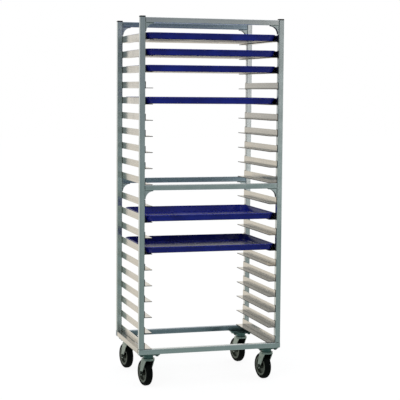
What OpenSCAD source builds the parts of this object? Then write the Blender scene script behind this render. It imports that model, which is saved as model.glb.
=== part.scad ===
// Side-loading sheet pan rack: a welded aluminium frame with twenty pairs of angle runners,
// four swivel casters and six sheet pans.
// Millimetres. X runs along the wide front, +Y to the rear, +Z up.
// The origin is on the floor, under the middle of the whole rack with its wheels trailing to the rear.

/* [Frame] */
// Width over the posts, along the open front
rack_w = 716; // [712:1:760]
// Depth over the posts, front to rear
rack_d = 500; // [490:1:560]
// Outside width of the square tube
tube = 25.4; // [24:0.1:28]
// Wall thickness of the square tube
tube_wall = 2; // [1.5:0.1:3]
// Post height above the underside of the top runner
head_room = 104.8; // [95:0.1:140]
// Length of each leg of a corner gusset
gusset_leg = 42; // [35:1:60]
// Thickness of a corner gusset
gusset_t = 20; // [8:0.5:20.5]
// Height of a post cap above the tube
cap_h = 6; // [4:0.5:9]

/* [Runners] */
// Spacing from one runner to the next
pitch = 76.2; // [72:0.1:90]
// Spacing across the middle rail
mid_gap = 102.6; // [100:0.1:120]
// Width of the flange that a pan rests on
flange_w = 38; // [30:0.5:45]
// Height of the upright leg
leg_h = 32; // [25:0.5:38]
// Thickness of the angle
runner_t = 3.2; // [2:0.1:4]

/* [Pans] */
// Length of a pan over its rim
pan_l = 654; // [640:1:654]
// Depth of a pan over its rim, front to rear
pan_w = 457; // [440:1:470]
// Height of a pan
pan_h = 31; // [25:1:34]
// Thickness of the pan sheet
pan_t = 1.3; // [1:0.1:2]
// Radius of the rolled rim
rim_r = 3.2; // [2.5:0.1:4]
// Outer radius of a pan corner
pan_corner_r = 42; // [36:1:60]
// Lean of the pan walls from upright, in degrees
pan_lean = 20; // [12:1:24]

/* [Casters] */
// Wheel diameter
wheel_d = 127; // [120:1:130]
// Tread width
wheel_w = 33; // [28:1:36]
// Floor to the top of the caster
caster_h = 161.6; // [158:0.1:170]
// Distance from the swivel axis back to the wheel axle
trail = 35; // [30:1:40]
// Distance from the frame's sides and rear in to a swivel axis
caster_inset = 56; // [54:1:62]
// Distance from the frame's front in to the front casters' swivel axis
front_inset = 42; // [40:1:60]
// How far the casters are swivelled where they stand, in degrees: 0 trails straight to the rear
caster_turn = 10; // [0:1:20]

/* [Hidden] */
$fn = 48;
eps = 0.01;

// Levels are counted from the top. The middle rail runs under the last of the upper ones.
levels = 20;
upper_levels = 10;
pan_levels = [1, 2, 3, 5, 12, 14];
corners = [["front_left", -1, -1], ["front_right", 1, -1], ["rear_left", -1, 1], ["rear_right", 1, 1]];

tube_r = 2.4;
tube_inner_r = 0.6;
drain_hole_r = 2.5;
corner_plate = 100;
corner_plate_t = 4;
corner_plate_cut = 38;
base_bottom = caster_h + corner_plate_t;
base_top = base_bottom + tube;
post_x = rack_w / 2 - tube / 2;
inner_x = rack_w / 2 - tube;
gusset_tip = 4;
cap_overhang = 0.4;
cap_chamfer = 1.6;
plug_depth = 14;
plug_wall = 2;
plug_gap = 0.2;

// The rear wheels trail out behind the frame, so its middle lies in front of the origin
shoulder_r = 12;
wheel_reach = (wheel_d / 2 - shoulder_r) * cos(caster_turn)
            + (wheel_w / 2 - shoulder_r) * sin(caster_turn) + shoulder_r;
wheels_behind = trail * cos(caster_turn) + wheel_reach - caster_inset;
middle_y = (cap_overhang - wheels_behind) / 2;
function post_y(side) = middle_y + side * (rack_d - tube) / 2;

// Underside of the runner flange at a level
function level_z(i) =
    base_top + (levels - i) * pitch + (i <= upper_levels ? mid_gap - pitch : 0);
post_top = level_z(1) + head_room;
mid_rail_top = level_z(upper_levels);

runner_setback = 2;
runner_l = rack_d - 2 * runner_setback;

// Caster heights, from the top plate down
top_plate_t = 3.5;
top_plate = [96, 66];
top_plate_r = 6;
bolt_spacing = [76, 44.5];
bolt_r = 4;
bolt_hole_gap = 0.3;
bolt_head_af = 13;
bolt_head_h = 5.5;
collar_r = 27;
collar_h = 3;
race_r = 24;
race_h = 16.8;
swivel_gap = 0.3;
crown_r = 31;
crown_t = 3.5;
lower_race_h = 6;
lower_race_bore_r = 16;
plate_under = caster_h - top_plate_t;
race_under = plate_under - race_h;
crown_top = race_under - swivel_gap - lower_race_h;
crown_under = crown_top - crown_t;
kingpin_r = 6;
kingpin_head_r = 11;
kingpin_head_h = 4;
running_gap = 0.05;

// Fork and wheel
fork_leg_t = 3.5;
fork_leg_x = wheel_w / 2 + 3.5;
fork_boss_r = 13;
fork_front = -23;
fork_back = 28;
axle_r = 4.75;
axle_z = wheel_d / 2;
axle_head_af = 15;
axle_head_h = 6;
thread_proud = 4;
washer_r = 10;
washer_t = 1.6;
core_r = 48;
core_w = 30;
core_rim_t = 10;
hub_r = 13;
hub_w = wheel_w + 3;
web_t = 9;

// Pan profile: r runs out from a corner's centre, z up from the pan's underside
pan_fillet = 6;
fillet_steps = 6;
rim_centre = [pan_corner_r - rim_r, pan_h - rim_r];
wall_rise = (rim_centre.y - pan_fillet * (1 - sin(pan_lean))) / cos(pan_lean);
fillet_r0 = rim_centre.x - pan_fillet * cos(pan_lean) - wall_rise * sin(pan_lean);
pan_setback = 3;
pan_front = middle_y - rack_d / 2 + pan_setback;
pan_lift = 0.3;

function digits(i) = i < 10 ? str("0", i) : str(i);
function runner_node(i) = str("runners_", digits(i));
function pan_node(i) = str("sheet_pan_", digits(i));

// ---- shared shapes ----

module rounded_rectangle(size, r) {
    translate([-size.x / 2 + r, -size.y / 2]) square([size.x - 2 * r, size.y]);
    translate([-size.x / 2, -size.y / 2 + r]) square([size.x, size.y - 2 * r]);
    for (sx = [-1, 1], sy = [-1, 1])
        translate([sx * (size.x / 2 - r), sy * (size.y / 2 - r)]) circle(r);
}

// Square tube standing on its end
module square_tube(length) {
    inside = tube - 2 * tube_wall;
    linear_extrude(length)
        difference() {
            rounded_rectangle([tube, tube], tube_r);
            rounded_rectangle([inside, inside], tube_inner_r);
        }
}

// Tube lying along X, centred, with its top face at z
module cross_rail(length, y, z) {
    translate([-length / 2, y, z - tube / 2]) rotate([0, 90, 0]) square_tube(length);
}

module hexagon(across_flats, height) {
    cylinder(r = across_flats / sqrt(3), h = height, $fn = 6);
}

module at_corner(c) {
    x = rack_w / 2 - caster_inset;
    y = rack_d / 2 - (c[2] < 0 ? front_inset : caster_inset);
    translate([c[1] * x, middle_y + c[2] * y, 0]) children();
}

// On a caster's swivel axis, turned the way the caster stands
module at_caster(c) {
    at_corner(c) rotate(caster_turn) children();
}

module at_bolts() {
    for (sx = [-1, 1], sy = [-1, 1])
        translate([sx * bolt_spacing.x / 2, sy * bolt_spacing.y / 2, 0]) children();
}

// ---- frame ----

module post(c) {
    color("lightslategray")
        translate([c[1] * post_x, post_y(c[2]), base_top]) square_tube(post_top - base_top);
}

module top_rail(side) {
    color("lightslategray") cross_rail(2 * inner_x, post_y(side), post_top);
}

module mid_rail(side) {
    color("lightslategray") cross_rail(2 * inner_x, post_y(side), mid_rail_top);
}

// Full-width tube, its ends closed by plates with a drain hole
module base_rail(side) {
    across = tube - tube_wall;
    color("lightslategray") {
        cross_rail(rack_w, post_y(side), base_top);
        for (end = [-rack_w / 2, rack_w / 2 - tube_wall])
            translate([end, post_y(side), base_top - tube / 2])
                rotate([0, 90, 0])
                    linear_extrude(tube_wall)
                        difference() {
                            rounded_rectangle([across, across], tube_inner_r);
                            circle(drain_hole_r);
                        }
    }
}

module base_side(side) {
    length = rack_d - 2 * tube;
    color("silver")
        translate([side * post_x, middle_y + length / 2, base_top - tube / 2])
            rotate([90, 0, 0]) square_tube(length);
}

// Plug with a chamfered square head
module post_cap() {
    head = tube + 2 * cap_overhang;
    half = head / 2;
    top_half = half - cap_chamfer;
    shoulder = cap_h - cap_chamfer;
    plug = tube - 2 * tube_wall - 2 * plug_gap;
    hollow = plug - 2 * plug_wall;
    side_view = [[-half, 0], [half, 0], [half, shoulder], [top_half, cap_h],
                 [-top_half, cap_h], [-half, shoulder]];
    intersection() {
        linear_extrude(cap_h) rounded_rectangle([head, head], tube_r);
        translate([0, half, 0]) rotate([90, 0, 0]) linear_extrude(head) polygon(side_view);
        translate([-half, 0, 0]) rotate([90, 0, 90]) linear_extrude(head) polygon(side_view);
    }
    difference() {
        translate([-plug / 2, -plug / 2, -plug_depth]) cube([plug, plug, plug_depth + eps]);
        translate([-hollow / 2, -hollow / 2, -plug_depth - eps])
            cube([hollow, hollow, plug_depth - plug_wall]);
    }
}

module post_caps() {
    color("black")
        for (c = corners) translate([c[1] * post_x, post_y(c[2]), post_top]) post_cap();
}

// Quarter-round plate in the corner under a rail, with its corner at the origin
module corner_gusset() {
    rotate([90, 0, 0])
        translate([0, 0, -gusset_t / 2])
            linear_extrude(gusset_t)
                difference() {
                    translate([0, -gusset_leg]) square(gusset_leg);
                    translate([gusset_leg, -gusset_leg]) circle(gusset_leg - gusset_tip, $fn = 96);
                }
}

module corner_gussets() {
    color("slategray")
        for (c = corners, z = [post_top - tube, mid_rail_top - tube])
            translate([c[1] * inner_x, post_y(c[2]), z])
                mirror([c[1] > 0 ? 1 : 0, 0, 0]) corner_gusset();
}

// ---- runners ----

// One pair of angles, flange inwards, welded to the inner faces of the posts
module runners(i) {
    profile = [[0, 0], [flange_w, 0], [flange_w, runner_t],
               [runner_t, runner_t], [runner_t, leg_h], [0, leg_h]];
    color("tan")
        for (side = [0, 1])
            mirror([side, 0, 0])
                translate([-inner_x, middle_y + runner_l / 2, level_z(i)])
                    rotate([90, 0, 0]) linear_extrude(runner_l) polygon(profile);
}

// ---- pans ----

function arc(centre, r, from, to, steps) =
    [for (k = [0:steps]) let (a = from + (to - from) * k / steps) centre + r * [cos(a), sin(a)]];

// Section through the floor, the leaning wall and the rolled rim
module pan_section() {
    centre = [fillet_r0, pan_fillet];
    outer = arc(centre, pan_fillet, -90, -pan_lean, fillet_steps);
    inner = arc(centre, pan_fillet - pan_t, -pan_lean, -90, fillet_steps);
    up = wall_rise * [sin(pan_lean), cos(pan_lean)];
    polygon(concat([[0, 0]], outer, [outer[fillet_steps] + up], [inner[0] + up], inner, [[0, pan_t]]));
    translate(rim_centre) circle(rim_r);
}

module pan_side(length) {
    translate([0, length / 2, 0]) rotate([90, 0, 0]) linear_extrude(length) pan_section();
}

// Pan centred on the origin, standing on its underside
module sheet_pan_shape() {
    half = [pan_l / 2 - pan_corner_r, pan_w / 2 - pan_corner_r];
    translate([-half.x, -half.y, 0]) cube([2 * half.x, 2 * half.y, pan_t]);
    for (turn = [0, 180])
        rotate(turn) {
            translate([half.x, 0, 0]) pan_side(2 * half.y);
            translate([0, half.y, 0]) rotate(90) pan_side(2 * half.x);
            translate([half.x, half.y, 0]) rotate_extrude(angle = 90) pan_section();
            translate([half.x, -half.y, 0]) rotate(-90) rotate_extrude(angle = 90) pan_section();
        }
}

module sheet_pan(i) {
    color("midnightblue")
        translate([0, pan_front + pan_w / 2, level_z(i) + runner_t + pan_lift]) sheet_pan_shape();
}

// ---- casters ----

// Square plate welded under the base frame, cut across its inner corner
module corner_plate(c) {
    h = corner_plate / 2;
    cut = corner_plate_cut;
    outline = [[-h, -h], [h, -h], [h, h - cut], [h - cut, h], [-h, h]];
    behind = c[2] < 0 ? caster_inset - front_inset : 0;
    translate([0, 0, caster_h])
        difference() {
            translate([0, behind, 0])
                mirror([c[1] > 0 ? 1 : 0, 0, 0])
                    mirror([0, c[2] > 0 ? 1 : 0, 0]) linear_extrude(corner_plate_t) polygon(outline);
            at_bolts() translate([0, 0, -eps]) cylinder(r = bolt_r, h = corner_plate_t + 2 * eps);
        }
}

module corner_plates() {
    color("lightslategray")
        for (c = corners) at_corner(c) corner_plate(c);
}

// Top plate with the neck and upper ball race under it
module caster_top_plate() {
    difference() {
        union() {
            translate([0, 0, plate_under])
                linear_extrude(top_plate_t) rounded_rectangle(top_plate, top_plate_r);
            translate([0, 0, plate_under - collar_h]) cylinder(r = collar_r, h = collar_h + eps);
            translate([0, 0, race_under]) cylinder(r = race_r, h = race_h + eps);
        }
        translate([0, 0, race_under - eps]) cylinder(r = kingpin_r, h = race_h + top_plate_t + 2 * eps);
        at_bolts()
            translate([0, 0, plate_under - eps])
                cylinder(r = bolt_r + bolt_hole_gap, h = top_plate_t + 2 * eps);
    }
}

module caster_top_plates() {
    color("silver")
        for (c = corners) at_corner(c) caster_top_plate();
}

// Rivet that carries the fork: fixed in the top plate, turning in the crown
module kingpins() {
    head_top = crown_under - swivel_gap;
    color("gray")
        for (c = corners)
            at_corner(c) {
                translate([0, 0, head_top - kingpin_head_h])
                    cylinder(r = kingpin_head_r, h = kingpin_head_h);
                translate([0, 0, head_top - eps]) cylinder(r = kingpin_r, h = caster_h - head_top + eps);
            }
}

module caster_bolts() {
    color("dimgray")
        for (c = corners)
            at_corner(c)
                at_bolts() {
                    translate([0, 0, plate_under - bolt_head_h]) {
                        hexagon(bolt_head_af, bolt_head_h);
                        cylinder(r = bolt_r, h = bolt_head_h + base_bottom - plate_under);
                    }
                }
}

// Side view of a fork leg: y forwards and back, z up, tapering to a round boss at the axle
module fork_leg_outline() {
    boss = [trail, axle_z];
    front = [fork_front, crown_top];
    back = [fork_back, crown_top];
    // Where a line from p touches the boss: side is 1 for the left of the line, -1 for the right
    function touch(p, side) =
        let (v = p - boss, d = norm(v), a = atan2(v.y, v.x) + side * acos(fork_boss_r / d))
        boss + fork_boss_r * [cos(a), sin(a)];
    polygon([front, touch(front, 1), boss, touch(back, -1), back]);
    translate(boss) circle(fork_boss_r);
}

module fork() {
    difference() {
        union() {
            translate([0, 0, crown_under]) cylinder(r = crown_r, h = crown_t);
            translate([-fork_leg_x - fork_leg_t, fork_front, crown_under])
                cube([2 * (fork_leg_x + fork_leg_t), fork_back - fork_front, crown_t]);
            translate([0, 0, crown_top - eps])
                difference() {
                    cylinder(r = crown_r, h = lower_race_h + eps);
                    translate([0, 0, -eps]) cylinder(r = lower_race_bore_r, h = lower_race_h + 3 * eps);
                }
            for (side = [-1, 1])
                translate([side * (fork_leg_x + fork_leg_t / 2) - fork_leg_t / 2, 0, 0])
                    rotate([90, 0, 90]) linear_extrude(fork_leg_t) fork_leg_outline();
        }
        translate([0, 0, crown_under - eps])
            cylinder(r = kingpin_r + running_gap, h = crown_t + lower_race_h);
        translate([-crown_r, trail, axle_z]) rotate([0, 90, 0]) cylinder(r = axle_r, h = 2 * crown_r);
    }
}

// Hexagon-headed axle bolt, with its washer and nut
module axle() {
    outside = fork_leg_x + fork_leg_t;
    translate([-outside, trail, axle_z])
        rotate([0, 90, 0]) {
            cylinder(r = axle_r, h = 2 * outside + axle_head_h + thread_proud);
            translate([0, 0, -axle_head_h]) hexagon(axle_head_af, axle_head_h + eps);
        }
    translate([outside, trail, axle_z])
        rotate([0, 90, 0])
            difference() {
                union() {
                    cylinder(r = washer_r, h = washer_t);
                    translate([0, 0, washer_t - eps]) hexagon(axle_head_af, axle_head_h);
                }
                translate([0, 0, -eps])
                    cylinder(r = axle_r + running_gap, h = washer_t + axle_head_h + 2 * eps);
            }
}

module wheel_turned() {
    translate([0, trail, axle_z]) rotate([0, 90, 0]) rotate_extrude($fn = 96) children();
}

// Moulded core: hub, web and rim
module wheel() {
    bore = axle_r + running_gap;
    rim_in = core_r - core_rim_t;
    bite = 1;
    wheel_turned() {
        translate([bore, -hub_w / 2]) square([hub_r - bore, hub_w]);
        translate([hub_r - bite, -web_t / 2]) square([rim_in - hub_r + 2 * bite, web_t]);
        translate([rim_in, -core_w / 2]) square([core_r - rim_in, core_w]);
    }
}

// Solid tread with round shoulders, moulded round the core
module tyre() {
    depth = wheel_d / 2 - core_r;
    wheel_turned()
        translate([core_r, 0])
            intersection() {
                translate([0, -wheel_w / 2]) square([depth, wheel_w]);
                union() {
                    translate([0, -wheel_w / 2]) square([depth - shoulder_r, wheel_w]);
                    translate([0, -wheel_w / 2 + shoulder_r]) square([depth, wheel_w - 2 * shoulder_r]);
                    for (side = [-1, 1])
                        translate([depth - shoulder_r, side * (wheel_w / 2 - shoulder_r)]) circle(shoulder_r);
                }
            }
}

// ---- which piece is drawn ----

for (c = corners) {
    post(c);
    color("darkgray") at_caster(c) fork();
    color("gray") at_caster(c) axle();
    color("dimgray") at_caster(c) wheel();
    color("black") at_caster(c) tyre();
}
for (i = [1:levels]) runners(i);
for (i = pan_levels) sheet_pan(i);
top_rail(-1);  // top_rail_front
top_rail(1);  // top_rail_rear
mid_rail(-1);  // mid_rail_front
mid_rail(1);  // mid_rail_rear
base_rail(-1);  // base_rail_front
base_rail(1);  // base_rail_rear
base_side(-1);  // base_rail_left
base_side(1);  // base_rail_right
post_caps();
corner_gussets();
corner_plates();
caster_top_plates();
kingpins();
caster_bolts();
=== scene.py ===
"""Looks for the sheet pan rack: camera, materials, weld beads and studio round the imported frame."""

import math
import random

import bmesh
import bpy
from mathutils import Matrix, Vector


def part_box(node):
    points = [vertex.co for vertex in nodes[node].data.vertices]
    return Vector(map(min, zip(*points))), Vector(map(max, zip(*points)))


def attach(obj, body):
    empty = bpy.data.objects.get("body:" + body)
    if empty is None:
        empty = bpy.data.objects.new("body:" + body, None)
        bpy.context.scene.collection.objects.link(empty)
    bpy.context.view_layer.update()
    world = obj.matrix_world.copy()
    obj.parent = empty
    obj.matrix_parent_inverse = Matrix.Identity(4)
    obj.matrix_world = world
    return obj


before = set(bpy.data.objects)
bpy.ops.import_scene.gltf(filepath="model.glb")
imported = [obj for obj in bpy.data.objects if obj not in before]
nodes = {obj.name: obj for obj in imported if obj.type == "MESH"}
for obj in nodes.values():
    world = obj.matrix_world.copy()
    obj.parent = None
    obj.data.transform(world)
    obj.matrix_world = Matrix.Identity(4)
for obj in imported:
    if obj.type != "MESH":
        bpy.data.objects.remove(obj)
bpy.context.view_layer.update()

# Sizes of the rack's parts that no box of the frame gives
MM = 0.001
FLANGE_W = 38 * MM
GUSSET_LEG, GUSSET_T = 42 * MM, 20 * MM

# ---------------------------------------------------------------- camera

CAMERA_PLACE = Vector((-1.749, -5.926, 1.426))
CAMERA_YAW = math.radians(16.62)
CAMERA_DIP = math.radians(4.40)
CAMERA_ROLL = math.radians(0.45)
LENS_MM, SENSOR_MM = 111.2, 36.0
SHIFT_Y = -0.035
FAR_CLIP = 100.0


def make_camera():
    """Level with the upper pans, to the left of the open front, on a long lens."""
    data = bpy.data.cameras.new("camera")
    data.lens, data.sensor_width, data.shift_y = LENS_MM, SENSOR_MM, SHIFT_Y
    data.clip_end = FAR_CLIP
    camera = bpy.data.objects.new("camera", data)
    bpy.context.scene.collection.objects.link(camera)
    ahead = Vector(
        (
            math.sin(CAMERA_YAW) * math.cos(CAMERA_DIP),
            math.cos(CAMERA_YAW) * math.cos(CAMERA_DIP),
            -math.sin(CAMERA_DIP),
        )
    )
    level = Vector((math.cos(CAMERA_YAW), -math.sin(CAMERA_YAW), 0.0))
    above = level.cross(ahead)
    right = level * math.cos(CAMERA_ROLL) + above * math.sin(CAMERA_ROLL)
    up = above * math.cos(CAMERA_ROLL) - level * math.sin(CAMERA_ROLL)
    turn = Matrix((right, up, -ahead)).transposed()
    camera.matrix_world = Matrix.Translation(CAMERA_PLACE) @ turn.to_4x4()
    bpy.context.scene.camera = camera


make_camera()

# ---------------------------------------------------------------- node helpers

WHITE = (1.0, 1.0, 1.0, 1.0)
BLACK = (0.0, 0.0, 0.0, 1.0)


class Nodes:
    """A node tree being built, with short ways to add and join nodes."""

    def __init__(self, tree, place):
        self.tree = tree
        self.place = self.add("ShaderNodeTexCoord").outputs[place]

    def add(self, kind, **settings):
        node = self.tree.nodes.new(kind)
        for key, value in settings.items():
            setattr(node, key, value)
        return node

    def join(self, source, target):
        self.tree.links.new(source, target)

    def feed(self, socket, value):
        """Links another node's output to a socket, or sets the socket to a constant."""
        if isinstance(value, bpy.types.NodeSocket):
            self.join(value, socket)
        else:
            socket.default_value = value

    def stretched(self, scale):
        """Object coordinates scaled along each axis."""
        mapping = self.add("ShaderNodeMapping")
        self.join(self.place, mapping.inputs["Vector"])
        mapping.inputs["Scale"].default_value = scale
        return mapping.outputs["Vector"]

    def noise(self, scale, detail=4.0, rough=0.55, vector=None, distortion=0.0):
        node = self.add("ShaderNodeTexNoise")
        self.join(vector or self.place, node.inputs["Vector"])
        node.inputs["Scale"].default_value = scale
        node.inputs["Detail"].default_value = detail
        node.inputs["Roughness"].default_value = rough
        node.inputs["Distortion"].default_value = distortion
        return node.outputs["Fac"]

    def spread(self, value, low, high, to_low=0.0, to_high=1.0):
        """Maps low..high to to_low..to_high, clamped."""
        node = self.add("ShaderNodeMapRange", clamp=True)
        self.feed(node.inputs["Value"], value)
        node.inputs["From Min"].default_value = low
        node.inputs["From Max"].default_value = high
        node.inputs["To Min"].default_value = to_low
        node.inputs["To Max"].default_value = to_high
        return node.outputs["Result"]

    def calc(self, operation, a, b):
        """One Math node of two values."""
        node = self.add("ShaderNodeMath", operation=operation)
        self.feed(node.inputs[0], a)
        self.feed(node.inputs[1], b)
        return node.outputs[0]

    def size_of(self, value):
        """A value without its sign."""
        node = self.add("ShaderNodeMath", operation="ABSOLUTE")
        self.join(value, node.inputs[0])
        return node.outputs[0]

    def mix(self, factor, a, b, blend="MIX"):
        node = self.add("ShaderNodeMix", data_type="RGBA", blend_type=blend)
        self.feed(node.inputs["Factor"], factor)
        self.feed(node.inputs["A"], a)
        self.feed(node.inputs["B"], b)
        return node.outputs["Result"]

    def parts(self, place):
        """The X, Y and Z of a texture coordinate."""
        split = self.add("ShaderNodeSeparateXYZ")
        self.join(self.add("ShaderNodeTexCoord").outputs[place], split.inputs["Vector"])
        return split.outputs

    def occlusion(self, distance):
        """1 on open surfaces, towards 0 where others close in within the distance."""
        node = self.add("ShaderNodeAmbientOcclusion", samples=8)
        node.inputs["Distance"].default_value = distance
        return node.outputs["AO"]

    def bump(self, height, distance, strength):
        node = self.add("ShaderNodeBump")
        node.inputs["Strength"].default_value = strength
        node.inputs["Distance"].default_value = distance
        self.join(height, node.inputs["Height"])
        return node.outputs["Normal"]

    def towards(self, axis, start, end):
        """0 to 1 as the direction nears an axis: the cosines where it starts and where it is full."""
        node = self.add("ShaderNodeVectorMath", operation="DOT_PRODUCT")
        self.join(self.place, node.inputs[0])
        node.inputs[1].default_value = Vector(axis).normalized()
        ramp = self.add("ShaderNodeMapRange", clamp=True, interpolation_type="SMOOTHSTEP")
        self.join(node.outputs["Value"], ramp.inputs["Value"])
        ramp.inputs["From Min"].default_value = start
        ramp.inputs["From Max"].default_value = end
        return ramp.outputs["Result"]


class Look(Nodes):
    """A material being built round its Principled shader."""

    def __init__(self, name):
        self.material = bpy.data.materials.new(name)
        self.material.use_nodes = True
        super().__init__(self.material.node_tree, "Object")
        self.shader = self.tree.nodes["Principled BSDF"]

    def corner_shade_and_oxide(self, colour, tint, reach, low, high, least):
        """A colour multiplied by a tint where other surfaces close in on it within reach: painted shade on
        aluminium and zinc, oxide in a weld's toes.
        """
        open_share = self.spread(self.occlusion(reach), low, high, least, 1.0)
        return self.mix(1.0, colour, self.mix(open_share, tint, WHITE), "MULTIPLY")

    def set(self, **values):
        """Base_Color=..., Roughness=... on the shader's own sockets."""
        for key, value in values.items():
            self.feed(self.shader.inputs[key.replace("_", " ")], value)
        return self.material


def rgb(r, g, b):
    """An sRGB colour, 0 to 255, as a linear one."""

    def linear(c):
        c /= 255.0
        return c / 12.92 if c <= 0.04045 else ((c + 0.055) / 1.055) ** 2.4

    return (linear(r), linear(g), linear(b), 1.0)


# ---------------------------------------------------------------- materials

# Noise scales, in cells per metre
DIE_LINES, WIDE_LINES, SMUDGES = 900.0, 140.0, 9.0
MOULD_GRAIN, RUBBED_PATCHES = 600.0, 35.0
RUBBER_PITS, TREAD_DUST = 900.0, 60.0
ZINC_GRAIN, ZINC_BLOTCHES = 700.0, 55.0
COAT_GRAIN, COAT_CLOUDS, BARE_MOTTLE = 1400.0, 7.0, 160.0
WELD_SOOT = 300.0
FLOOR_MOTTLE = 2.0

# The share of the noise scale left along an extrusion, which draws its spots out into lines
DRAWN_OUT = 0.003
ALONG = {"x": (DRAWN_OUT, 1.0, 1.0), "y": (1.0, DRAWN_OUT, 1.0), "z": (1.0, 1.0, DRAWN_OUT)}

# Darker colour for a runner's ends, for painted shade on a runner's flange nose and for a painted dark
# reflection on a gusset's edges
DARK_ENDS_AND_PAINTED_EDGES = rgb(46, 48, 47)
# Painted shade colour for plastic recesses
RECESS_SHADE = rgb(14, 17, 15)
# The aluminium and zinc tints are painted shade where other surfaces close in; the weld's is oxide in its
# toes
ALUMINIUM_CORNER_SHADE = (0.28, 0.29, 0.27, 1.0)
ZINC_CORNER_SHADE = (0.12, 0.16, 0.15, 1.0)
WELD_OXIDE = (0.15, 0.16, 0.16, 1.0)


def aluminium(name, along, light, dark, gloss, nose_x=None, painted_dark_edges=False):
    """Mill-finish extrusion: die lines along it, handling smudges, painted shade in the corners.
    A runner has darker, rougher ends, and a painted shade line on the flange's nose.
    A gusset's cut edges, all its faces but the front and rear ones, are darker and rougher too, a painted
    dark reflection."""
    look = Look(name)
    lines = look.noise(DIE_LINES, 3.0, 0.6, look.stretched(ALONG[along]))
    broad = look.noise(WIDE_LINES, 2.0, 0.5, look.stretched(ALONG[along]))
    smudge = look.noise(SMUDGES, 5.0, 0.62, distortion=0.6)
    tone = look.calc("ADD", look.calc("MULTIPLY", broad, 0.6), look.calc("MULTIPLY", smudge, 0.4))
    colour = look.mix(look.spread(tone, 0.36, 0.64), dark, light)
    # Painted shade: darker where other surfaces close in within 12 mm
    colour = look.corner_shade_and_oxide(colour, ALUMINIUM_CORNER_SHADE, reach=12 * MM, low=0.25, high=0.85, least=0.45)
    worn = look.calc("MULTIPLY", look.spread(smudge, 0.35, 0.7), 0.14)
    roughness = look.calc("ADD", look.spread(lines, 0.3, 0.7, gloss - 0.05, gloss + 0.07), worn)
    facing = look.size_of(look.parts("Normal")["Y"])
    dark_ends_and_painted_edges = None
    # Painted shade on the flange's nose, and darker, rougher runner ends
    if nose_x:
        across = look.size_of(look.parts("Object")["X"])
        nose = look.spread(across, nose_x + 0.1 * MM, nose_x + 0.8 * MM, 1.0, 0.0)
        dark_ends_and_painted_edges = look.calc("MAXIMUM", nose, look.spread(facing, 0.8, 0.9))
    # Painted dark reflection on a gusset's edges, which are also rougher
    elif painted_dark_edges:
        dark_ends_and_painted_edges = look.spread(facing, 0.4, 0.6, 1.0, 0.0)
    if dark_ends_and_painted_edges:
        colour = look.mix(look.calc("MULTIPLY", dark_ends_and_painted_edges, 0.92), colour, DARK_ENDS_AND_PAINTED_EDGES)
        roughness = look.calc("ADD", roughness, look.calc("MULTIPLY", dark_ends_and_painted_edges, 0.3))
    normal = look.bump(lines, 0.1 * MM, 0.15)
    return look.set(Base_Color=colour, Metallic=1.0, Roughness=roughness, Normal=normal)


def plastic(name, light, dark, rough, shine=0.5):
    """Moulded plastic with a fine grain, rubbed patches and painted shade in its recesses."""
    look = Look(name)
    patches = look.noise(RUBBED_PATCHES)
    colour = look.mix(look.spread(patches, 0.35, 0.65), dark, light)
    # Painted shade: darker where other surfaces close in within 30 mm
    recess_shade = look.spread(look.occlusion(30 * MM), 0.35, 0.8, 1.0, 0.0)
    colour = look.mix(look.calc("MULTIPLY", recess_shade, 0.9), colour, RECESS_SHADE)
    roughness = look.spread(patches, 0.3, 0.7, rough - 0.08, rough + 0.08)
    normal = look.bump(look.noise(MOULD_GRAIN, 2.0), 0.2 * MM, 0.4)
    return look.set(Base_Color=colour, Roughness=roughness, Specular_IOR_Level=shine, Normal=normal)


def rubber(name):
    """Matt black tyre: fine pitting, dust on the tread."""
    look = Look(name)
    dust = look.noise(TREAD_DUST, 5.0, 0.65)
    colour = look.mix(look.spread(dust, 0.5, 0.75), rgb(6, 9, 8), rgb(24, 28, 24))
    roughness = look.spread(dust, 0.3, 0.7, 0.5, 0.75)
    normal = look.bump(look.noise(RUBBER_PITS, 3.0), 0.3 * MM, 0.5)
    return look.set(Base_Color=colour, Roughness=roughness, Specular_IOR_Level=0.08, Normal=normal)


def plated(name, light, dark, rough):
    """Zinc-plated steel: blotched passivation, painted shade where parts meet."""
    look = Look(name)
    blotch = look.noise(ZINC_BLOTCHES, 6.0, 0.6, distortion=0.8)
    colour = look.mix(look.spread(blotch, 0.32, 0.68), dark, light)
    # Painted shade: darker where other surfaces close in within 15 mm
    colour = look.corner_shade_and_oxide(colour, ZINC_CORNER_SHADE, reach=15 * MM, low=0.2, high=0.9, least=0.35)
    roughness = look.spread(blotch, 0.3, 0.7, rough - 0.07, rough + 0.1)
    normal = look.bump(look.noise(ZINC_GRAIN, 2.0), 0.1 * MM, 0.3)
    return look.set(Base_Color=colour, Metallic=1.0, Roughness=roughness, Normal=normal)


def pan_coating(name):
    """Glossy navy coating inside and on the walls, bare warm aluminium underneath."""
    look = Look(name)
    cloud = look.noise(COAT_CLOUDS, 4.0, 0.55, distortion=0.4)
    mottle = look.noise(BARE_MOTTLE, 3.0)
    blue = look.mix(look.spread(cloud, 0.35, 0.65), rgb(16, 23, 128), rgb(26, 40, 162))
    bare = look.mix(look.spread(mottle, 0.35, 0.65), rgb(204, 188, 162), rgb(230, 216, 192))
    underside = look.spread(look.parts("Normal")["Z"], -0.9, -0.8, 1.0, 0.0)
    return look.set(
        Base_Color=look.mix(underside, blue, bare),
        Metallic=look.calc("MULTIPLY", underside, 0.9),
        Roughness=look.spread(cloud, 0.3, 0.7, 0.22, 0.32),
        Specular_IOR_Level=0.38,
        Coat_Weight=0.15,
        Coat_Roughness=0.18,
        Normal=look.bump(look.noise(COAT_GRAIN, 2.0), 0.05 * MM, 0.3),
    )


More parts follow.
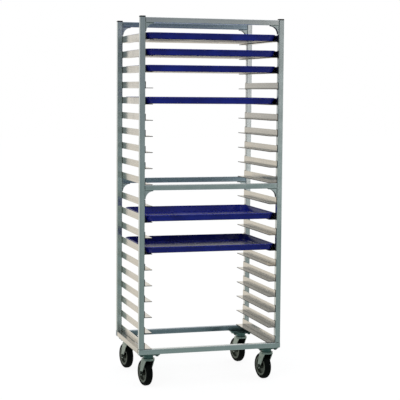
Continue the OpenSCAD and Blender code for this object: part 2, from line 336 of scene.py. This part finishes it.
def weld_metal(name):
    """Weld bead: blotched, with dark oxide in its toes."""
    look = Look(name)
    soot = look.noise(WELD_SOOT)
    colour = look.mix(look.spread(soot, 0.35, 0.65), rgb(96, 104, 102), rgb(150, 156, 152))
    colour = look.corner_shade_and_oxide(colour, WELD_OXIDE, reach=4 * MM, low=0.2, high=0.8, least=0.2)
    return look.set(Base_Color=colour, Metallic=1.0, Roughness=0.45, Normal=look.bump(soot, 0.2 * MM, 0.5))


# The second and third are a painted lit and a painted shaded copy of the first, the frame metal
FRAME_METAL = rgb(241, 247, 246), rgb(216, 225, 225)
PAINTED_LIT_METAL = rgb(253, 253, 252), rgb(240, 241, 240)
PAINTED_SHADE_METAL = rgb(178, 192, 202), rgb(150, 166, 178)
RUNNER_METAL = rgb(244, 239, 230), rgb(228, 221, 209)

nose_x = -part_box("runners_01")[0][0] - FLANGE_W
post_look = aluminium("post_metal", "z", *FRAME_METAL, 0.15)
# Painted lit and painted shaded copies of the frame metal, for single posts and rails
painted_lit_post_look = aluminium("post_metal_painted_lit", "z", *PAINTED_LIT_METAL, 0.2)
rail_look = aluminium("rail_metal", "x", *FRAME_METAL, 0.15)
painted_lit_rail_look = aluminium("rail_metal_painted_lit", "x", *PAINTED_LIT_METAL, 0.2)
painted_shade_rail_look = aluminium("rail_metal_painted_shade", "x", *PAINTED_SHADE_METAL, 0.2)
side_tube_look = aluminium("side_tube", "y", *RUNNER_METAL, 0.16)
runner_look = aluminium("runner_metal", "y", *RUNNER_METAL, 0.12, nose_x=nose_x)
gusset_look = aluminium("gusset_metal", "z", *FRAME_METAL, 0.24, painted_dark_edges=True)
cap_look = plastic("cap_plastic", rgb(12, 13, 14), rgb(5, 5, 6), 0.5, shine=0.12)
pan_look = pan_coating("pan_coating")
fork_look = plated("fork_zinc", rgb(190, 202, 194), rgb(150, 162, 154), 0.26)
# Painted shade: the plates under the frame get a darker, teal zinc than the fork
painted_shade_plate_look = plated("plate_zinc_painted_shade", rgb(128, 158, 152), rgb(92, 124, 120), 0.36)
bolt_look = plated("bolt_zinc", rgb(120, 124, 118), rgb(78, 82, 78), 0.38)
core_look = plastic("core_nylon", rgb(120, 126, 112), rgb(92, 98, 87), 0.42)
tyre_look = rubber("tyre_rubber")
weld_look = weld_metal("weld_metal")


def look_of(name):
    """The material of a CAD node. The rear right post and the front top rail get a painted lit copy of the
    frame metal, and the rear rails a painted shaded copy.
    """
    if name.startswith("runners"):
        return runner_look
    if name.startswith("sheet_pan"):
        return pan_look
    if name in ("base_rail_left", "base_rail_right"):
        return side_tube_look
    if name == "post_caps":
        return cap_look
    if name.startswith("post_"):
        return painted_lit_post_look if name == "post_rear_right" else post_look
    if name == "top_rail_front":
        return painted_lit_rail_look
    if "rail" in name:
        return painted_shade_rail_look if name.endswith("rear") else rail_look
    if name == "corner_gussets":
        return gusset_look
    if name in ("corner_plates", "caster_top_plates"):
        return painted_shade_plate_look
    if name.startswith("fork"):
        return fork_look
    if name.startswith("wheel"):
        return core_look
    if name.startswith("tyre"):
        return tyre_look
    return bolt_look


for node_name, node in nodes.items():
    node.data.materials.clear()
    node.data.materials.append(look_of(node_name))

# ---------------------------------------------------------------- weld beads

SIDES = (-1, 1)
POSTS = [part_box("post_" + corner) for corner in ("front_left", "front_right", "rear_left", "rear_right")]
RAILS = [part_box(rail) for rail in ("top_rail_front", "top_rail_rear", "mid_rail_front", "mid_rail_rear")]
POST_INNER_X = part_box("runners_01")[1][0]
TUBE_HALF = (POSTS[0][1][0] - POSTS[0][0][0]) / 2
TUBE_CORNER = 2.4 * MM

# How a bead is made: its facets, the step between ripples, and how its radius varies
BEAD_SIDES = 8
RIPPLE = 1.3 * MM
TROUGH = 0.86
UNEVEN = (0.93, 1.06)
TAPER = ((0, 0.45), (1, 0.8), (-2, 0.8), (-1, 0.45))
SEAM_R, EDGE_R = 2.0 * MM, 1.8 * MM

# How far a bead's middle lies from the faces that it joins
OFF_JOINT, SEAM_SUNK = 0.6 * MM, 0.9 * MM
OFF_POST, OFF_RUNNER = 0.9 * MM, 0.2 * MM
OFF_GUSSET, OFF_PLATE = 0.3 * MM, 0.4 * MM

# Where a bead along an edge starts and ends
RUNNER_REACH = 9.5 * MM
GUSSET_START, GUSSET_END = 2.0 * MM, GUSSET_LEG - 1.5 * MM
PLATE_START, PLATE_RUN = 4 * MM, 92 * MM

chance = random.Random(20)


def ring_round(bm, at, ahead, radius):
    """One ring of a bead, square to the way it runs."""
    side = ahead.orthogonal().normalized()
    over = ahead.cross(side).normalized()
    turn = 2 * math.pi / BEAD_SIDES
    return [
        bm.verts.new(at + radius * (side * math.cos(k * turn) + over * math.sin(k * turn)))
        for k in range(BEAD_SIDES)
    ]


def run_bead(bm, corners, radius, closed):
    """A rippled bead along straight runs between corners, tapering at its ends unless it closes."""
    ends = corners + corners[:1] if closed else corners
    rings = []
    for start, end in zip(ends, ends[1:]):
        span = end - start
        count = max(2, round(span.length / RIPPLE))
        for k in range(count):
            place = start + span * (k / count)
            swell = 1.0 if len(rings) % 2 else TROUGH
            rings.append((place, span.normalized(), radius * swell * chance.uniform(*UNEVEN)))
    if not closed:
        rings.append((ends[-1], rings[-1][1], radius))
        for k, share in TAPER:
            rings[k] = (rings[k][0], rings[k][1], radius * share)
    loops = [ring_round(bm, *ring) for ring in rings]
    for a, b in zip(loops, loops[1:]):
        bridge(bm, a, b, 0)
    if closed:
        first, last = loops[0], loops[-1]
        bridge(bm, last, first, min(range(BEAD_SIDES), key=lambda n: (first[n].co - last[0].co).length))
    else:
        bm.faces.new(list(reversed(loops[0])))
        bm.faces.new(loops[-1])


def bridge(bm, a, b, shift):
    """Joins two rings, where corner 0 of the first meets corner shift of the second."""
    for k in range(BEAD_SIDES):
        m = (k + shift) % BEAD_SIDES
        bm.faces.new((a[k], a[(k + 1) % BEAD_SIDES], b[(m + 1) % BEAD_SIDES], b[m]))


def weld_piece(name, runs):
    """One object holding several beads: (corners, radius, closed) each."""
    bm = bmesh.new()
    for corners, radius, closed in runs:
        run_bead(bm, corners, radius, closed)
    bmesh.ops.recalc_face_normals(bm, faces=bm.faces)
    mesh = bpy.data.meshes.new(name)
    bm.to_mesh(mesh)
    bm.free()
    mesh.polygons.foreach_set("use_smooth", [True] * len(mesh.polygons))
    mesh.materials.append(weld_look)
    piece = bpy.data.objects.new(name, mesh)
    bpy.context.scene.collection.objects.link(piece)
    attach(piece, "frame")


def tube_seam(centre, axis):
    """A seam round a square tube's end: eight corners round an axis (0 for X, 1 for Y, 2 for Z)."""
    a, b = [k for k in range(3) if k != axis]
    half = TUBE_HALF - SEAM_SUNK
    corners = []
    for u, v in ((1, 0), (0, 1), (-1, 0), (0, -1)):
        for lean in SIDES:
            point = Vector(centre)
            point[a] += u * half + (-v * lean) * (half - TUBE_CORNER) * abs(v)
            point[b] += v * half + (u * lean) * (half - TUBE_CORNER) * abs(u)
            corners.append(point)
    return corners, SEAM_R, True


def edge_bead(start, end):
    """A straight bead from one point to another."""
    return [Vector(start), Vector(end)], EDGE_R, False


def middle(box, axis):
    return (box[0][axis] + box[1][axis]) / 2


def rail_seams():
    """Round each end of the top and middle rails, against the posts."""
    for rail in RAILS:
        for side in SIDES:
            yield tube_seam((side * (POST_INNER_X - OFF_JOINT), middle(rail, 1), middle(rail, 2)), 0)


def base_seams():
    """Round each post's foot, and round both ends of each base side tube."""
    for post in POSTS:
        yield tube_seam((middle(post, 0), middle(post, 1), post[0][2] + OFF_JOINT), 2)
    for tube in (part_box("base_rail_left"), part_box("base_rail_right")):
        for y in (tube[0][1] + OFF_JOINT, tube[1][1] - OFF_JOINT):
            yield tube_seam((middle(tube, 0), y, middle(tube, 2)), 1)


def runner_beads():
    """Above and below each runner, where its upright leg crosses a post."""
    for name in sorted(n for n in nodes if n.startswith("runners_")):
        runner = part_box(name)
        for side in SIDES:
            x = side * (POST_INNER_X - OFF_POST)
            for post in (POSTS[0], POSTS[2]):
                y = middle(post, 1)
                for z in (runner[0][2] - OFF_RUNNER, runner[1][2] + OFF_RUNNER):
                    yield edge_bead((x, y - RUNNER_REACH, z), (x, y + RUNNER_REACH, z))


def gusset_beads():
    """Along both straight legs of each gusset, on its front and rear faces."""
    for rail in RAILS:
        z = rail[0][2]
        for side in SIDES:
            x = side * (POST_INNER_X - OFF_GUSSET)
            far, near = side * (POST_INNER_X - GUSSET_END), side * (POST_INNER_X - GUSSET_START)
            for face in SIDES:
                y = middle(rail, 1) + face * GUSSET_T / 2
                yield edge_bead((far, y, z - OFF_GUSSET), (near, y, z - OFF_GUSSET))
                yield edge_bead((x, y, z - GUSSET_START), (x, y, z - GUSSET_END))


def plate_beads():
    """Along the two outer edges of each corner plate, under the base frame."""
    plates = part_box("corner_plates")
    z = plates[1][2] - OFF_PLATE
    for sx in SIDES:
        for sy in SIDES:
            x, y = plates[max(sx, 0)][0], plates[max(sy, 0)][1]
            near = x - sx * PLATE_START
            yield edge_bead((near, y, z), (near - sx * PLATE_RUN, y, z))
            near = y - sy * PLATE_START
            yield edge_bead((x, near, z), (x, near - sy * PLATE_RUN, z))


weld_piece("rail_welds", rail_seams())
weld_piece("base_welds", base_seams())
weld_piece("runner_welds", runner_beads())
weld_piece("gusset_welds", gusset_beads())
weld_piece("plate_welds", plate_beads())

# ---------------------------------------------------------------- stage and light

# What the metal reflects: a dark front wall, and for each softbox its direction, the cosines
# where it starts and where it is full, and its colour
FRONT_WALL = (0.145, 0.175, 0.21, 1.0)
SOFTBOXES = (
    ((0.55, -0.83, 0.0), 0.92, 0.985, (0.36, 0.365, 0.35, 1.0)),
    ((-1.0, -0.35, 0.0), 0.35, 0.8, (0.11, 0.14, 0.15, 1.0)),
    ((1.0, -0.1, 0.0), 0.6, 0.95, (0.09, 0.11, 0.12, 1.0)),
    ((0.087, 0.996, 0.0), 0.86, 0.955, (0.80, 0.79, 0.76, 1.0)),
    ((0.0, 0.0, 1.0), 0.45, 0.8, (0.95, 0.97, 1.0, 1.0)),
)

# The floor: how far it reaches each way, and its colour in the reflections, from teal before
# the rack to bright beige behind it
FLOOR_HALF = 30.0
FLOOR_FRONT, FLOOR_REAR = (0.215, 0.27, 0.26, 1.0), (0.70, 0.68, 0.63, 1.0)
FRONT_Y, REAR_Y = -0.5, 0.9
PAPER_GLOW = (0.9, 0.9, 0.9, 1.0)
PAPER_DARK, PAPER_LIGHT = (0.15, 0.15, 0.15, 1.0), (0.17, 0.17, 0.17, 1.0)


def studio_sky():
    """White behind the object for the camera, and a soft studio in the reflections."""
    world = bpy.data.worlds.new("studio")
    bpy.context.scene.world = world
    world.use_nodes = True
    sky = Nodes(world.node_tree, "Generated")
    colour = FRONT_WALL
    for axis, start, end, tint in SOFTBOXES:
        colour = sky.mix(sky.towards(axis, start, end), colour, tint)
    seen = sky.add("ShaderNodeLightPath").outputs["Is Camera Ray"]
    background = sky.tree.nodes["Background"]
    sky.join(sky.mix(seen, colour, WHITE), background.inputs["Color"])


def studio_floor():
    """White paper to the camera, with a faint contact shadow; teal to bright beige in the reflections."""
    mesh = bpy.data.meshes.new("floor")
    corners = ((-1, -1), (1, -1), (1, 1), (-1, 1))
    mesh.from_pydata([(x * FLOOR_HALF, y * FLOOR_HALF, 0) for x, y in corners], [], [(0, 1, 2, 3)])
    floor = bpy.data.objects.new("floor", mesh)
    bpy.context.scene.collection.objects.link(floor)
    paper = Look("floor_paper")
    seen = paper.add("ShaderNodeLightPath").outputs["Is Camera Ray"]
    mottled = paper.mix(paper.noise(FLOOR_MOTTLE, 3.0), PAPER_DARK, PAPER_LIGHT)
    depth = paper.spread(paper.parts("Object")["Y"], FRONT_Y, REAR_Y)
    reflected = paper.mix(depth, FLOOR_FRONT, FLOOR_REAR)
    paper.set(Base_Color=paper.mix(seen, BLACK, mottled), Roughness=1.0, Specular_IOR_Level=0.0)
    paper.set(Emission_Color=paper.mix(seen, reflected, PAPER_GLOW), Emission_Strength=1.0)
    mesh.materials.append(paper.material)


def area_light(name, place, aim, size, watts, colour=(1.0, 1.0, 1.0), in_gloss=True):
    """A rectangular light aimed at a point. The camera never sees it, and gloss only if in_gloss."""
    data = bpy.data.lights.new(name, "AREA")
    data.shape, data.size, data.size_y = "RECTANGLE", size[0], size[1]
    data.energy, data.color = watts, colour
    light = bpy.data.objects.new(name, data)
    bpy.context.scene.collection.objects.link(light)
    light.location = place
    light.visible_camera = False
    light.visible_glossy = in_gloss
    light.rotation_mode = "QUATERNION"
    light.rotation_quaternion = (Vector(aim) - Vector(place)).to_track_quat("-Z", "Y")


def studio():
    """The key lights the front from the left; the card is a bounce for the rear right post."""
    bpy.context.scene.view_settings.view_transform = "Standard"
    studio_sky()
    studio_floor()
    area_light(
        "key",
        place=(-3.0, -5.0, 4.5),
        aim=(0.0, 0.0, 0.9),
        size=(4.0, 4.0),
        watts=125.0,
        colour=(1.0, 0.98, 0.95),
        in_gloss=False,
    )
    area_light("card", place=(0.78, -1.0, 1.35), aim=(0.34, 0.2, 1.35), size=(0.2, 1.2), watts=0.45)


studio()
